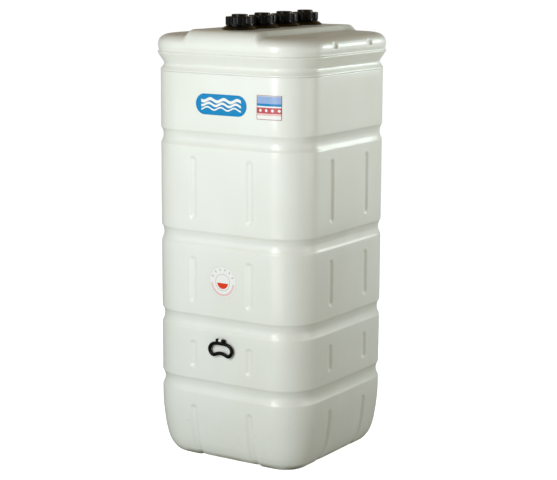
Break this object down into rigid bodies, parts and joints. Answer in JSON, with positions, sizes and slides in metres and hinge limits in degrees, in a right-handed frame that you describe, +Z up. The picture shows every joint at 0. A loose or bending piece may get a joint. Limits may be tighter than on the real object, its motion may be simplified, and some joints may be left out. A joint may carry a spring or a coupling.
{
  "type": "vertical double-walled plastic storage tank",
  "caption": "Upright square-plan storage tank in ribbed white plastic with a flared head, screw-capped necks along its middle and a small swinging grip low on the front.",
  "frame": {"origin": "middle of the tank's plan, on the floor under its feet", "axes": "+Z up, front with the stickers and the grip facing -Y, +X to the right of the front"},
  "size_m": [0.7748, 0.803, 1.854],
  "materials": {
    "white_polyethylene": "satin blow-moulded skin, slightly translucent",
    "inner_polyethylene": "satin blow-moulded skin",
    "black_plastic": "semi-gloss injection-moulded",
    "blue_film": "gloss film",
    "printed_film": "gloss printed film"
  },
  "bodies": {
    "tank": {"outer_wall": "white_polyethylene", "outer_base": "white_polyethylene", "inner_head": "white_polyethylene", "inner_wall": "inner_polyethylene", "inner_bottom": "inner_polyethylene", "neck_fitting_1": "black_plastic", "neck_fitting_2": "black_plastic", "neck_fitting_3": "black_plastic", "neck_fitting_4": "black_plastic", "handle_lug": "white_polyethylene", "handle_pin": "black_plastic", "wide_sticker": "blue_film", "square_sticker": "printed_film", "round_sticker": "printed_film"},
    "plug_1": {"cap_1_plug": "black_plastic"},
    "nut_1": {"cap_1_nut": "black_plastic"},
    "plug_2": {"cap_2_plug": "black_plastic"},
    "nut_2": {"cap_2_nut": "black_plastic"},
    "plug_3": {"cap_3_plug": "black_plastic"},
    "nut_3": {"cap_3_nut": "black_plastic"},
    "plug_4": {"cap_4_plug": "black_plastic"},
    "nut_4": {"cap_4_nut": "black_plastic"},
    "grip": {"handle_grip": "black_plastic"}
  },
  "joints": [
    {"name": "cap_1_lift", "type": "slide", "parent": "tank", "child": "plug_1", "axis": [0, 0, 1], "range_m": [0, 0.016]},
    {"name": "cap_1_turn", "type": "hinge", "parent": "plug_1", "child": "nut_1", "pos_m": [0, -0.2484, 1.793], "axis": [0, 0, 1], "range_deg": [0, 720]},
    {"name": "cap_2_lift", "type": "slide", "parent": "tank", "child": "plug_2", "axis": [0, 0, 1], "range_m": [0, 0.016]},
    {"name": "cap_2_turn", "type": "hinge", "parent": "plug_2", "child": "nut_2", "pos_m": [0, -0.0828, 1.793], "axis": [0, 0, 1], "range_deg": [0, 720]},
    {"name": "cap_3_lift", "type": "slide", "parent": "tank", "child": "plug_3", "axis": [0, 0, 1], "range_m": [0, 0.016]},
    {"name": "cap_3_turn", "type": "hinge", "parent": "plug_3", "child": "nut_3", "pos_m": [0, 0.0828, 1.793], "axis": [0, 0, 1], "range_deg": [0, 720]},
    {"name": "cap_4_lift", "type": "slide", "parent": "tank", "child": "plug_4", "axis": [0, 0, 1], "range_m": [0, 0.016]},
    {"name": "cap_4_turn", "type": "hinge", "parent": "plug_4", "child": "nut_4", "pos_m": [0, 0.2484, 1.793], "axis": [0, 0, 1], "range_deg": [0, 720]},
    {"name": "grip_swing", "type": "hinge", "parent": "tank", "child": "grip", "pos_m": [0.008, -0.398, 0.536], "axis": [-1, 0, 0], "range_deg": [0, 110]}
  ],
  "couplings": [
    {"joint": "cap_1_lift", "follows": "cap_1_turn", "m_per_rad": 0.001273},
    {"joint": "cap_2_lift", "follows": "cap_2_turn", "m_per_rad": 0.001273},
    {"joint": "cap_3_lift", "follows": "cap_3_turn", "m_per_rad": 0.001273},
    {"joint": "cap_4_lift", "follows": "cap_4_turn", "m_per_rad": 0.001273}
  ]
}
